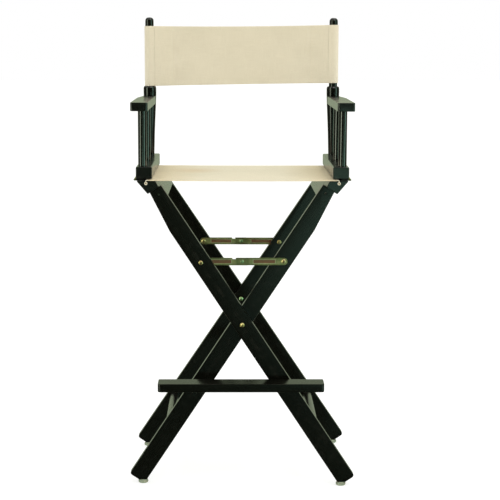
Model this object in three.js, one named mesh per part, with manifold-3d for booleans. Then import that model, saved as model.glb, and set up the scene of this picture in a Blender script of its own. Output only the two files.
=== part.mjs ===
// Bar-height folding director chair: two crossed leg frames, hinged arm frames, canvas seat
// and back, spreader stays and a swinging footrest. Millimetres, +Z up, the sitter faces -Y.
// Left is -X. The origin is on the floor at the centre of the chair's bounding box.
import * as THREE from "three";
import { mergeVertices } from "three/addons/utils/BufferGeometryUtils.js";
import Module from "manifold-3d";

const wasm = await Module();
wasm.setup();

// ---- driving dimensions -------------------------------------------------------------------
const GAP = 0.3; // clearance between touching pieces
const HALF_DEPTH = 196; // chair centre to the outer faces of the outer legs
const LEG_THICKNESS = 19;
const LEG_EDGES = { upper: 24.1, lower: 20.4 }; // line of the holes to a front leg's edges
const REAR_LEG_EDGES = { upper: 20, lower: 21.6 };
const LEG_GAP = 4.6; // between the crossing legs, where the stay arms lie
const LEG_ANGLE = (33.3 * Math.PI) / 180; // from vertical, chair open
const REAR_SPLAY = (0.6 * Math.PI) / 180; // the rear legs lean this much further
const PIVOT_Z = 408.5;
const LEG_UP = 395.2; // pivot to the leg's top end, along the leg
const LEG_DOWN = 475.2; // pivot to the leg's bottom end, along the leg
const LEG_TOP_LOWER = 8.6; // line of the holes to the tapered top end's lower edge
const LEG_TAPER = 105; // length of the taper
const GLIDE_HEIGHT = 9;
const GLIDE_RADIUS = 12.3;
const GLIDE_INSET = 9; // start of the foot's level facet to the glide's centre

const RAIL_INNER = 218.4; // arm rail faces, from the centre plane
const RAIL_OUTER = 257.4;
const ARM_RAIL_BOTTOM = 768.2;
const ARM_RAIL_TOP = 796.6;
const SEAT_RAIL_TOP = 763.5;
const SEAT_RAIL_TOP_OUTER = 257;
const SEAT_RAIL_TOP_INNER = 211;
const SEAT_RAIL_FOOT = [-14.5, 17]; // its lower face, across the line of the holes
const APRON = [-1.5, 17]; // its lower part between the legs, across the line of the holes
const APRON_BOTTOM = 360; // pivot to the apron's lower edge, along the leg
const GROOVE_X = 233.2;
const GROOVE_Z = 757;
const GROOVE_RADIUS = 3.9;
const GROOVE_SLOT = 3;

const HINGE_X = 260.3;
const HINGE_Z = 765.85;
const KNUCKLE_RADIUS = 2.4;
const KNUCKLE_BORE = 1.4;
const HINGE_PIN_RADIUS = 1.05;
const HINGE_SEGMENTS = 7;
const LEAF_INNER = 239;
const LEAF_THICKNESS = 1.2;

const POST_X = 242.4;
const POST_Y = 176.5;
const POST_TOP = 1156;
const POST_RADIUS = 11;
const ARMREST_TOP = 951.5;
const ARMREST_THICKNESS = 20.8;
const ARMREST_FRONT = -206.5;
const ARMREST_REAR = 163;
const DOWEL_X = 242.4;
const DOWEL_RADIUS = 10.3;
const DOWEL_TENON = 9; // depth of each dowel end in its socket
const FRONT_DOWEL_Y = -172;
const MIDDLE_DOWEL_Y = 0;

const STRETCHER_RADIUS = 12;
const STRETCHER_DOWN = 323.4; // pivot to stretcher, along the leg
const STRETCHER_ABOVE = 3.3; // line of the holes to the stretcher's axis
const STRETCHER_TENON = 10;

const STAY_UP = 184.6; // pivot to stay bolt, along the leg
const STAY_WIDTH = 18.6;
const STAY_THICKNESS = 1.2;

const FOOTREST_HALF_LENGTH = 202.5;
const FOOTREST_CENTRE_X = -3;
const FOOTREST_DEPTH = 53;
const FOOTREST_THICKNESS = 20.4;
const FOOTREST_TOP = 274.2;
const FOOTREST_SPACER = 5; // between the outer front leg and the board
const FOOTREST_CORNER = 9;
const PEG_RADIUS = 5.5;
const PEG_ABOVE = 9.3; // line of the holes to the peg's axis

const BACK_BOTTOM = 982;
const BACK_TOP = 1137.4;
const BACK_SEAM = 58; // post centre to the sleeve's seam
const CANVAS = 1.4; // cloth thickness
const SEAT_DOWEL_RADIUS = 2;

// ---- derived dimensions -------------------------------------------------------------------
const SIN = Math.sin(LEG_ANGLE);
const COS = Math.cos(LEG_ANGLE);
const OUTER_FRONT_Y = -HALF_DEPTH; // front faces of the four legs
const INNER_FRONT_Y = OUTER_FRONT_Y + LEG_THICKNESS + LEG_GAP;
const OUTER_REAR_Y = HALF_DEPTH - LEG_THICKNESS;
const INNER_REAR_Y = OUTER_REAR_Y - LEG_GAP - LEG_THICKNESS;
const FOOTREST_BACK_Y = OUTER_FRONT_Y - FOOTREST_SPACER;
const FOOTREST_FRONT_Y = FOOTREST_BACK_Y - FOOTREST_DEPTH;
const FOOTREST_Z = FOOTREST_TOP - FOOTREST_THICKNESS / 2;
const FOOTREST_PIVOT_DOWN = (PIVOT_Z - FOOTREST_Z) / COS;
const CAP_NUT_HEIGHT = 7.5; // the rear cap nut stands furthest back
const ORIGIN_SHIFT = -(HALF_DEPTH + CAP_NUT_HEIGHT + FOOTREST_FRONT_Y) / 2;
const FRONT_STAY_Y = OUTER_FRONT_Y + LEG_THICKNESS; // where each gap between crossing legs starts
const REAR_STAY_Y = INNER_REAR_Y + LEG_THICKNESS;

// ---- materials ----------------------------------------------------------------------------
const lacquer = { color: 0x14160f, roughness: 0.35, metalness: 0 };
const canvas = { color: 0xe0d5b8, roughness: 0.95, metalness: 0 };
const zinc = { color: 0xb59a4a, roughness: 0.35, metalness: 1 };
const steel = { color: 0x8f9088, roughness: 0.4, metalness: 1 };
const nylon = { color: 0xdfe6d2, roughness: 0.5, metalness: 0 };
const rawWood = { color: 0xc9a878, roughness: 0.7, metalness: 0 };

// ---- scene graph --------------------------------------------------------------------------
const chair = new THREE.Group();
chair.position.y = ORIGIN_SHIFT;

// A leg frame's group has its origin at the X pivot and its Z axis along the legs.
function legFrame(lean) {
  const group = new THREE.Group();
  group.position.z = PIVOT_Z;
  group.rotation.y = lean * LEG_ANGLE;
  chair.add(group);
  return group;
}
const outerFrame = legFrame(-1);
const innerFrame = legFrame(1);

function add(group, name, geometry, look) {
  const mesh = new THREE.Mesh(geometry, new THREE.MeshStandardMaterial(look));
  mesh.name = name;
  group.add(mesh);
  return mesh;
}

// ---- solids -------------------------------------------------------------------------------
function toManifold(geometry) {
  const bare = new THREE.BufferGeometry().setAttribute("position", geometry.getAttribute("position"));
  if (geometry.index) bare.setIndex(geometry.index);
  const merged = mergeVertices(bare, 1e-3);
  const vertProperties = merged.attributes.position.array;
  const triVerts = new Uint32Array(merged.index.array);
  return new wasm.Manifold(new wasm.Mesh({ numProp: 3, vertProperties, triVerts }));
}

function toGeometry(manifold) {
  const mesh = manifold.getMesh();
  const geometry = new THREE.BufferGeometry();
  geometry.setAttribute("position", new THREE.BufferAttribute(new Float32Array(mesh.vertProperties), 3));
  geometry.setIndex(new THREE.BufferAttribute(mesh.triVerts, 1));
  return geometry;
}

function cut(geometry, ...tools) {
  const cutAway = tools.reduce((left, tool) => left.subtract(toManifold(tool)), toManifold(geometry));
  return toGeometry(cutAway);
}

function join(geometry, ...others) {
  const joined = others.reduce((sum, other) => sum.add(toManifold(other)), toManifold(geometry));
  return toGeometry(joined);
}

// A cylinder along X, Y or Z from one coordinate to another.
function rod(axis, radius, from, to, sides = 16) {
  const geometry = new THREE.CylinderGeometry(radius, radius, to - from, sides);
  if (axis === "x") geometry.rotateZ(-Math.PI / 2);
  if (axis === "z") geometry.rotateX(Math.PI / 2);
  const middle = (from + to) / 2;
  return geometry.translate(axis === "x" ? middle : 0, axis === "y" ? middle : 0, axis === "z" ? middle : 0);
}

function box(x0, x1, y0, y1, z0, z1) {
  const geometry = new THREE.BoxGeometry(x1 - x0, y1 - y0, z1 - z0);
  return geometry.translate((x0 + x1) / 2, (y0 + y1) / 2, (z0 + z1) / 2);
}

// An outline in the XY plane, extruded up from z0 to z1, its end edges rounded by round.
function slab(shape, z0, z1, curveSegments = 6, round = 0) {
  const geometry = new THREE.ExtrudeGeometry(shape, {
    depth: z1 - z0 - 2 * round,
    bevelEnabled: round > 0,
    bevelThickness: round,
    bevelSize: round,
    bevelOffset: -round,
    bevelSegments: 2,
    curveSegments,
  });
  return geometry.translate(0, 0, z0 + round);
}

// An outline in the XZ plane, extruded along Y from y0 to y1.
function plate(shape, y0, y1, curveSegments = 6, round = 0) {
  return slab(shape, -y1, -y0, curveSegments, round).rotateX(Math.PI / 2);
}

// A closed outline through corners [x, y, radius], each rounded by its own radius.
function roundedOutline(corners) {
  const shape = new THREE.Shape();
  corners.forEach(([x, y, radius = 0], i) => {
    const corner = new THREE.Vector2(x, y);
    const before = new THREE.Vector2(...corners[(i + corners.length - 1) % corners.length]).sub(corner);
    const after = new THREE.Vector2(...corners[(i + 1) % corners.length]).sub(corner);
    const halfAngle = Math.abs(before.angleTo(after)) / 2;
    const trim = radius / Math.tan(halfAngle);
    const start = before.setLength(trim).add(corner);
    const end = after.setLength(trim).add(corner);
    if (i === 0) shape.moveTo(start.x, start.y);
    else shape.lineTo(start.x, start.y);
    if (radius > 0) shape.quadraticCurveTo(x, y, end.x, end.y);
  });
  shape.closePath();
  return shape;
}

function mirrored(corners) {
  return corners.map(([x, y, radius]) => [-x, y, radius]).reverse();
}

// A closed solid of revolution about Z through [radius, z] points that start and end on the axis.
function turned(points, sides = 20) {
  const profile = points.map(([radius, z]) => new THREE.Vector2(radius, z));
  return new THREE.LatheGeometry(profile, sides).rotateX(Math.PI / 2);
}

// A domed head whose flat back lies at y = 0 and whose dome points to -Y, or to +Y if turned.
function dome(radius, height, towards, sides = 16) {
  const steps = 4;
  const points = [[0, 0]];
  for (let i = 0; i <= steps; i += 1) {
    const angle = (i / steps) * (Math.PI / 2);
    points.push([radius * Math.cos(angle), height * Math.sin(angle)]);
  }
  points[points.length - 1][0] = 0;
  const geometry = turned(points, sides);
  return towards < 0 ? geometry.rotateX(Math.PI / 2) : geometry.rotateX(-Math.PI / 2);
}

// ---- leg frames ---------------------------------------------------------------------------
const EDGE = 1.2; // rounding of the wooden edges
const LEG_BOLT_ABOVE = 7.8; // line of the holes to the bolt that holds a leg to its apron
const LEG_BOLT_UP = 380; // pivot to that bolt, along the leg
const LEG_BOLT_RADIUS = 2;
const LEG_BOLT_HEAD = 3;
const LEG_BOLT_SINK = 5; // leg face to the underside of the head
const LEG_BOLT_LENGTH = 40;
const X_BOLT_RADIUS = 4;
const STAY_BOLT_RADIUS = 2.6;
const HOLE_CLEARANCE = 0.45; // added to a bolt's radius

// Outline of a leg in its frame, with the line of its holes at x = 0 and its upper edge on the
// side of upper. The foot ends in a square cut and a level facet for the glide.
function legOutline(upper, edges, splay) {
  const sin = Math.sin(LEG_ANGLE + splay);
  const cos = Math.cos(LEG_ANGLE + splay);
  const facetDrop = PIVOT_Z - GLIDE_HEIGHT - GAP;
  const facetZ = (x) => (-facetDrop - x * sin) / cos;
  const facetEnd = (LEG_DOWN * cos - facetDrop) / sin;
  const topZ = LEG_UP - GAP - (splay > 0 ? GAP : 0);
  const corners = [
    [-LEG_TOP_LOWER, topZ],
    [-edges.lower, LEG_UP - LEG_TAPER],
    [-edges.lower, facetZ(-edges.lower)],
    [facetEnd, -LEG_DOWN],
    [edges.upper, -LEG_DOWN, 8],
    [edges.upper, topZ],
  ];
  return roundedOutline(upper > 0 ? corners : mirrored(corners));
}

// Blind sockets for the stretcher open towards the chair's middle.
function leg(group, name, upper, y0, extraHoles) {
  const y1 = y0 + LEG_THICKNESS;
  const inward = y0 < 0 ? 1 : -1;
  const face = inward > 0 ? y1 : y0;
  const socketFrom = Math.min(face - inward * (STRETCHER_TENON + GAP), face + inward);
  const socketTo = Math.max(face - inward * (STRETCHER_TENON + GAP), face + inward);
  const stretcherAt = [upper * STRETCHER_ABOVE, 0, -STRETCHER_DOWN];
  const through = (radius, x, z, sides) =>
    rod("y", radius + HOLE_CLEARANCE, y0 - 1, y1 + 1, sides).translate(x, 0, z);
  const splay = y0 < 0 ? 0 : REAR_SPLAY;
  const outline = legOutline(upper, y0 < 0 ? LEG_EDGES : REAR_LEG_EDGES, splay);
  const outside = y0 < 0 ? y0 : y1;
  const recessEnd = outside + inward * (LEG_BOLT_SINK + GAP);
  const recess = rod(
    "y",
    LEG_BOLT_HEAD + HOLE_CLEARANCE,
    Math.min(outside - inward, recessEnd),
    Math.max(outside - inward, recessEnd),
    14,
  );
  const body = cut(
    plate(outline, y0, y1, 4, EDGE).rotateY(-upper * splay),
    through(X_BOLT_RADIUS, 0, 0, 20),
    through(STAY_BOLT_RADIUS, 0, STAY_UP, 12),
    through(LEG_BOLT_RADIUS, upper * LEG_BOLT_ABOVE, LEG_BOLT_UP, 12),
    recess.translate(upper * LEG_BOLT_ABOVE, 0, LEG_BOLT_UP),
    rod("y", STRETCHER_RADIUS + GAP, socketFrom, socketTo, 20).translate(...stretcherAt),
    ...extraHoles,
  );
  add(group, name, body, lacquer);
}

const footrestBoltHole = join(
  rod("y", X_BOLT_RADIUS + HOLE_CLEARANCE, OUTER_FRONT_Y - 1, FRONT_STAY_Y + 1),
  rod("y", 8.5, FRONT_STAY_Y - 5, FRONT_STAY_Y + 1),
).translate(0, 0, -FOOTREST_PIVOT_DOWN);
const PEG_Z = FOOTREST_TOP - FOOTREST_THICKNESS - GAP - PEG_RADIUS;
const PEG_DOWN = (PIVOT_Z - PEG_Z + PEG_ABOVE * SIN) / COS;
const pegHole = rod("y", PEG_RADIUS + GAP, INNER_FRONT_Y - 1, INNER_FRONT_Y + LEG_THICKNESS + 1, 14);
pegHole.translate(-PEG_ABOVE, 0, -PEG_DOWN);

leg(outerFrame, "outer_leg_front", 1, OUTER_FRONT_Y, [footrestBoltHole]);
leg(outerFrame, "outer_leg_rear", 1, OUTER_REAR_Y, []);
leg(innerFrame, "inner_leg_front", -1, INNER_FRONT_Y, [pegHole]);
leg(innerFrame, "inner_leg_rear", -1, INNER_REAR_Y, []);

// Stretchers sit in blind sockets of the two legs of their frame.
function stretcher(group, name, upper, frontY, rearY) {
  const from = frontY + LEG_THICKNESS - STRETCHER_TENON;
  const bar = rod("y", STRETCHER_RADIUS, from, rearY + STRETCHER_TENON, 20);
  add(group, name, bar.translate(upper * STRETCHER_ABOVE, 0, -STRETCHER_DOWN), lacquer);
}
stretcher(outerFrame, "stretcher_right", 1, OUTER_FRONT_Y, OUTER_REAR_Y);
stretcher(innerFrame, "stretcher_left", -1, INNER_FRONT_Y, INNER_REAR_Y);

// Glides: nylon discs with a softened rim, flat on the floor.
function glide(name, side, legY) {
  const lean = LEG_ANGLE + (legY < 0 ? 0 : REAR_SPLAY);
  const { lower } = legY < 0 ? LEG_EDGES : REAR_LEG_EDGES;
  const facetStart = (PIVOT_Z - GLIDE_HEIGHT) * Math.tan(lean) - lower / Math.cos(lean);
  const disc = turned([
    [0, 0],
    [GLIDE_RADIUS - 1.6, 0],
    [GLIDE_RADIUS, 1.8],
    [GLIDE_RADIUS, GLIDE_HEIGHT - 3.2],
    [GLIDE_RADIUS - 2.6, GLIDE_HEIGHT],
    [0, GLIDE_HEIGHT],
  ]);
  const y = legY + LEG_THICKNESS / 2;
  add(chair, name, disc.translate(side * (facetStart + GLIDE_INSET), y, 0), nylon);
}
glide("glide_front_right", 1, OUTER_FRONT_Y);
glide("glide_rear_right", 1, OUTER_REAR_Y);
glide("glide_front_left", -1, INNER_FRONT_Y);
glide("glide_rear_left", -1, INNER_REAR_Y);

// Seat rails: their lower face lies square across the leg ends, their top is level under the
// arm rail, and the groove holds the hem dowel of the seat canvas. Between the legs an apron
// reaches down, and each leg is bolted to the apron's end.
function seatRail(name, side) {
  const [outerFoot, innerFoot] = SEAT_RAIL_FOOT.map((across) => [
    LEG_UP * SIN - across * COS,
    PIVOT_Z + LEG_UP * COS + across * SIN,
  ]);
  const corners = [
    [SEAT_RAIL_TOP_OUTER, SEAT_RAIL_TOP, 2],
    [SEAT_RAIL_TOP_INNER, SEAT_RAIL_TOP, 4],
    [...innerFoot, 2],
    [...outerFoot, 2],
  ];
  const outline = roundedOutline(side > 0 ? corners : mirrored(corners));
  const past = HALF_DEPTH + 1;
  const slotTop = SEAT_RAIL_TOP + 1;
  const slotLeft = side * GROOVE_X - GROOVE_SLOT / 2;
  const [frontLegY, rearLegY] = side > 0 ? [INNER_FRONT_Y, INNER_REAR_Y] : [OUTER_FRONT_Y, OUTER_REAR_Y];
  const apronFront = frontLegY + LEG_THICKNESS + GAP;
  const apronRear = rearLegY - GAP;
  const onLeg = (geometry) => geometry.rotateY(side * LEG_ANGLE).translate(0, 0, PIVOT_Z);
  const [x0, x1] = side > 0 ? [-APRON[1], -APRON[0]] : APRON;
  const apron = onLeg(box(x0, x1, apronFront, apronRear, APRON_BOTTOM, LEG_UP + 3));
  const boltHole = (from, to) =>
    onLeg(rod("y", LEG_BOLT_RADIUS + GAP, from, to, 12).translate(-side * LEG_BOLT_ABOVE, 0, LEG_BOLT_UP));
  const groove = rod("y", GROOVE_RADIUS, -past, past, 18).translate(side * GROOVE_X, 0, GROOVE_Z);
  const slot = box(slotLeft, slotLeft + GROOVE_SLOT, -past, past, GROOVE_Z, slotTop);
  const body = cut(
    join(plate(outline, -HALF_DEPTH, HALF_DEPTH, 3, 1), apron),
    groove,
    slot,
    boltHole(apronFront - 1, apronFront + LEG_BOLT_LENGTH),
    boltHole(apronRear - LEG_BOLT_LENGTH, apronRear + 1),
  );
  add(chair, name, body, lacquer);
}
seatRail("seat_rail_left", -1);
seatRail("seat_rail_right", 1);

// Leg bolts run from a recess in the leg's outside face into the end of the apron.
function legBolt(group, where, upper, legY) {
  const inward = legY < 0 ? 1 : -1;
  const outside = legY < 0 ? legY : legY + LEG_THICKNESS;
  const seat = outside + inward * LEG_BOLT_SINK;
  const tip = seat + inward * LEG_BOLT_LENGTH;
  const top = seat - inward * 2.4;
  const bolt = join(
    rod("y", LEG_BOLT_RADIUS, Math.min(seat, tip), Math.max(seat, tip), 12),
    rod("y", LEG_BOLT_HEAD, Math.min(seat + inward * 0.2, top), Math.max(seat + inward * 0.2, top), 14),
  );
  add(group, "leg_bolt_" + where, bolt.translate(upper * LEG_BOLT_ABOVE, 0, LEG_BOLT_UP), steel);
}
legBolt(outerFrame, "front_left", 1, OUTER_FRONT_Y);
legBolt(outerFrame, "rear_left", 1, OUTER_REAR_Y);
legBolt(innerFrame, "front_right", -1, INNER_FRONT_Y);
legBolt(innerFrame, "rear_right", -1, INNER_REAR_Y);

// X pivots: a domed bolt from the front, a spacer washer between the legs, a cap nut behind.
function crossPivot(where, frontY) {
  const rearY = frontY + 2 * LEG_THICKNESS + LEG_GAP;
  const shank = rod("y", X_BOLT_RADIUS, frontY - 1, rearY + 3.5, 20);
  const head = dome(6.2, 4, -1, 20).translate(0, frontY - GAP, 0);
  const at = (geometry) => geometry.translate(0, 0, PIVOT_Z);
  add(chair, "pivot_bolt_" + where, at(join(shank, head)), zinc);
  const gapY = frontY + LEG_THICKNESS;
  const washer = cut(
    rod("y", 9, gapY + GAP, gapY + LEG_GAP - GAP, 20),
    rod("y", X_BOLT_RADIUS + GAP, gapY - 1, gapY + LEG_GAP + 1, 20),
  );
  add(chair, "pivot_washer_" + where, at(washer), nylon);
  const nut = cut(
    join(rod("y", 7, rearY + GAP, rearY + 3.2, 6), dome(5.6, CAP_NUT_HEIGHT - 3, 1).translate(0, rearY + 3, 0)),
    rod("y", X_BOLT_RADIUS + GAP, rearY - 1, rearY + 3.9, 20),
  );
  add(chair, "pivot_nut_" + where, at(nut), zinc);
}
crossPivot("front", OUTER_FRONT_Y);
crossPivot("rear", INNER_REAR_Y);

// ---- stays --------------------------------------------------------------------------------
const STAY_LENGTH = STAY_UP * SIN; // each arm, bolt to centre rivet
const STAY_Z = PIVOT_Z + STAY_UP * COS;
const STAY_TONGUE = 12.5; // the part of an arm past the centre rivet
const STAY_NOTCH = [16, 25, 3.2]; // from and to along the left arm, and its depth
const STAY_RECESS = 0.5; // depth of the pressed channel

// One stamped arm: round at the bolt, square past the rivet, with a pressed channel between.
// The left arm has a notch in its upper edge.
function stayArm(name, side, y0) {
  const half = STAY_WIDTH / 2;
  const bolt = side * STAY_LENGTH;
  const tongue = -side * STAY_TONGUE;
  const shape = new THREE.Shape();
  shape.moveTo(bolt, -half);
  shape.absarc(bolt, 0, half, -Math.PI / 2, Math.PI / 2, side < 0);
  if (side < 0) {
    const [near, far, depth] = STAY_NOTCH;
    shape.lineTo(-far, half);
    shape.lineTo(-far + 1.5, half - depth);
    shape.lineTo(-near, half - depth);
    shape.lineTo(-near, half);
  }
  shape.lineTo(tongue, half);
  shape.lineTo(tongue, -half);
  shape.closePath();
  const y1 = y0 + STAY_THICKNESS;
  const channelCorners = [
    [side * 27, 4.6, 3.5],
    [side * 27, -4.6, 3.5],
    [side * (STAY_LENGTH - 21), -4.6, 3.5],
    [side * (STAY_LENGTH - 21), 4.6, 3.5],
  ];
  const channel = roundedOutline(side < 0 ? channelCorners : channelCorners.reverse());
  const arm = cut(
    plate(shape, y0, y1, 8),
    plate(channel, y0 - 1, y0 + STAY_RECESS, 4),
    rod("y", STAY_BOLT_RADIUS + HOLE_CLEARANCE, y0 - 1, y1 + 1, 12).translate(bolt, 0, 0),
    rod("y", 2.6, y0 - 1, y1 + 1, 12),
  );
  add(chair, name, arm.translate(0, 0, STAY_Z), zinc);
}

// A stay bolt clamps an arm to the face of its leg: the shank runs from headY to backY.
function stayBolt(name, side, headY, backY, backHeight) {
  const bolt = join(
    rod("y", STAY_BOLT_RADIUS, headY - 0.4, backY + 0.6, 12),
    dome(5.4, 1.5, -1, 14).translate(0, headY, 0),
    rod("y", 4.6, backY, backY + backHeight, 12),
  );
  add(chair, name, bolt.translate(side * STAY_LENGTH, 0, STAY_Z), zinc);
}

// The centre rivet is held by the front arm and stops short of the arm behind it.
function stayRivet(name, armY) {
  const rivet = join(
    rod("y", 2.1, armY - 0.4, armY + STAY_THICKNESS + 0.2, 12),
    dome(4.4, 0.8, -1, 14).translate(0, armY - 0.1, 0),
  );
  add(chair, name, rivet.translate(0, 0, STAY_Z), zinc);
}

// Each stay lies in the gap behind one leg and in front of the other. Its front arm is
// bolted to the leg ahead of the gap, its back arm to the leg behind the gap.
function stay(where, gapY, frontSide, frontWord, backWord) {
  const frontArmY = gapY + 1.2;
  const backArmY = gapY + 2.8;
  stayArm(`${where}_stay_arm_${frontWord}`, frontSide, frontArmY);
  stayArm(`${where}_stay_arm_${backWord}`, -frontSide, backArmY);
  stayRivet(`${where}_stay_rivet`, frontArmY);
  const frontBack = frontArmY + STAY_THICKNESS + GAP;
  stayBolt(`${where}_stay_bolt_${frontWord}`, frontSide, gapY - LEG_THICKNESS - 0.1, frontBack, 1.2);
  const behind = gapY + LEG_GAP + LEG_THICKNESS + GAP;
  stayBolt(`${where}_stay_bolt_${backWord}`, -frontSide, backArmY - 0.1, behind, 2.8);
}
stay("front", FRONT_STAY_Y, -1, "left", "right");
stay("rear", REAR_STAY_Y, 1, "right", "left");

// ---- arm frames ---------------------------------------------------------------------------
const ARMREST_BOTTOM = ARMREST_TOP - ARMREST_THICKNESS;
const ARMREST_INNER = 227; // armrest faces, from the centre plane
const ARMREST_OUTER = 269;
const ARMREST_TAIL = 259; // outer face at the rear end
const TAPER_START = 60;
const POST_TENON_RADIUS = 8.5;
const SHOULDER_RADIUS = 16.9;

function armRail(name, side) {
  const corners = [
    [RAIL_OUTER, ARM_RAIL_BOTTOM, 2],
    [RAIL_OUTER, ARM_RAIL_TOP, 3],
    [RAIL_INNER, ARM_RAIL_TOP, 3],
    [RAIL_INNER, ARM_RAIL_BOTTOM, 2],
  ];
  const outline = roundedOutline(side > 0 ? corners : mirrored(corners));
  const socket = (radius, x, y, depth) =>
    rod("z", radius + GAP, ARM_RAIL_TOP - depth - GAP, ARM_RAIL_TOP + 1, 20).translate(side * x, y, 0);
  const body = cut(
    plate(outline, -HALF_DEPTH, HALF_DEPTH, 3, 1),
    socket(DOWEL_RADIUS, DOWEL_X, FRONT_DOWEL_Y, DOWEL_TENON),
    socket(DOWEL_RADIUS, DOWEL_X, MIDDLE_DOWEL_Y, DOWEL_TENON),
    socket(POST_TENON_RADIUS, POST_X, POST_Y, 2 * DOWEL_TENON),
  );
  add(chair, name, body, lacquer);
}

// The armrest narrows towards the post, and its end is coped round the post's shoulder.
function armrest(name, side) {
  const corners = [
    [ARMREST_INNER, ARMREST_FRONT, 6],
    [ARMREST_OUTER, ARMREST_FRONT, 6],
    [ARMREST_OUTER, TAPER_START, 0],
    [ARMREST_TAIL, ARMREST_REAR, 0],
    [ARMREST_INNER, ARMREST_REAR, 0],
  ];
  const outline = roundedOutline(side > 0 ? corners : mirrored(corners));
  const socket = (y) =>
    rod("z", DOWEL_RADIUS + GAP, ARMREST_BOTTOM - 1, ARMREST_BOTTOM + DOWEL_TENON + GAP, 20).translate(
      side * DOWEL_X,
      y,
      0,
    );
  const cope = rod("z", SHOULDER_RADIUS + GAP, ARMREST_BOTTOM - 1, ARMREST_TOP + 1, 32);
  const body = cut(
    slab(outline, ARMREST_BOTTOM, ARMREST_TOP, 4, EDGE),
    socket(FRONT_DOWEL_Y),
    socket(MIDDLE_DOWEL_Y),
    cope.translate(side * POST_X, POST_Y, 0),
  );
  add(chair, name, body, lacquer);
}

function armDowel(name, side, y) {
  const bar = rod("z", DOWEL_RADIUS, ARM_RAIL_TOP - DOWEL_TENON, ARMREST_BOTTOM + DOWEL_TENON, 20);
  add(chair, name, bar.translate(side * DOWEL_X, y, 0), lacquer);
}

// The post swells from the arm rail to a shoulder above the armrest, then a neck and a bead
// carry the straight rod that the back canvas slides onto.
function post(name, side) {
  const body = turned(
    [
      [0, ARM_RAIL_TOP - 2 * DOWEL_TENON],
      [POST_TENON_RADIUS, ARM_RAIL_TOP - 2 * DOWEL_TENON],
      [POST_TENON_RADIUS, ARM_RAIL_TOP + GAP],
      [10.8, ARM_RAIL_TOP + GAP],
      [11.3, 815],
      [12.4, 855],
      [14, 892],
      [15.8, 928],
      [16.7, 952],
      [SHOULDER_RADIUS, 962],
      [16.8, 971],
      [16.2, 974.4],
      [14.4, 976.6],
      [POST_RADIUS, 977.2],
      [POST_RADIUS, POST_TOP - 9],
      [POST_RADIUS - 0.8, POST_TOP - 5],
      [POST_RADIUS - 3, POST_TOP - 2],
      [POST_RADIUS - 6, POST_TOP - 0.5],
      [0, POST_TOP],
    ],
    28,
  );
  const screwHole = rod("y", 2, -SHOULDER_RADIUS - 1, -SHOULDER_RADIUS + 9, 10).translate(0, 0, 957.5);
  add(chair, name, cut(body, screwHole).translate(side * POST_X, POST_Y, 0), lacquer);
}

// One leaf of a piano hinge: a strip on the rail and every second knuckle round the pin.
function hingeLeaf(name, side, stripZ, firstKnuckle) {
  const pitch = (2 * HALF_DEPTH) / HINGE_SEGMENTS;
  const strip = (from, to, y0, y1) => {
    const [x0, x1] = side > 0 ? [from, to] : [-to, -from];
    return box(x0, x1, y0, y1, stripZ, stripZ + LEAF_THICKNESS);
  };
  const knuckles = [];
  for (let i = firstKnuckle; i < HINGE_SEGMENTS; i += 2) {
    const y0 = -HALF_DEPTH + i * pitch + GAP;
    const y1 = y0 + pitch - 2 * GAP;
    knuckles.push(strip(RAIL_OUTER - 1, HINGE_X, y0, y1));
    knuckles.push(rod("y", KNUCKLE_RADIUS, y0, y1, 14).translate(side * HINGE_X, 0, HINGE_Z));
  }
  const leaf = join(strip(LEAF_INNER, RAIL_OUTER, -HALF_DEPTH + GAP, HALF_DEPTH - GAP), ...knuckles);
  const bore = rod("y", KNUCKLE_BORE, -HALF_DEPTH - 1, HALF_DEPTH + 1, 14);
  add(chair, name, cut(leaf, bore.translate(side * HINGE_X, 0, HINGE_Z)), zinc);
}

function hinge(word, side) {
  hingeLeaf(`hinge_lower_leaf_${word}`, side, SEAT_RAIL_TOP + GAP, 0);
  hingeLeaf(`hinge_upper_leaf_${word}`, side, ARM_RAIL_BOTTOM - GAP - LEAF_THICKNESS, 1);
  const pin = rod("y", HINGE_PIN_RADIUS, -HALF_DEPTH, HALF_DEPTH, 12);
  add(chair, `hinge_pin_${word}`, pin.translate(side * HINGE_X, 0, HINGE_Z), zinc);
}

for (const [word, side] of [["left", -1], ["right", 1]]) {
  armRail(`arm_rail_${word}`, side);
  armrest(`armrest_${word}`, side);
  armDowel(`front_dowel_${word}`, side, FRONT_DOWEL_Y);
  armDowel(`middle_dowel_${word}`, side, MIDDLE_DOWEL_Y);
  post(`post_${word}`, side);
  hinge(word, side);
}

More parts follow.
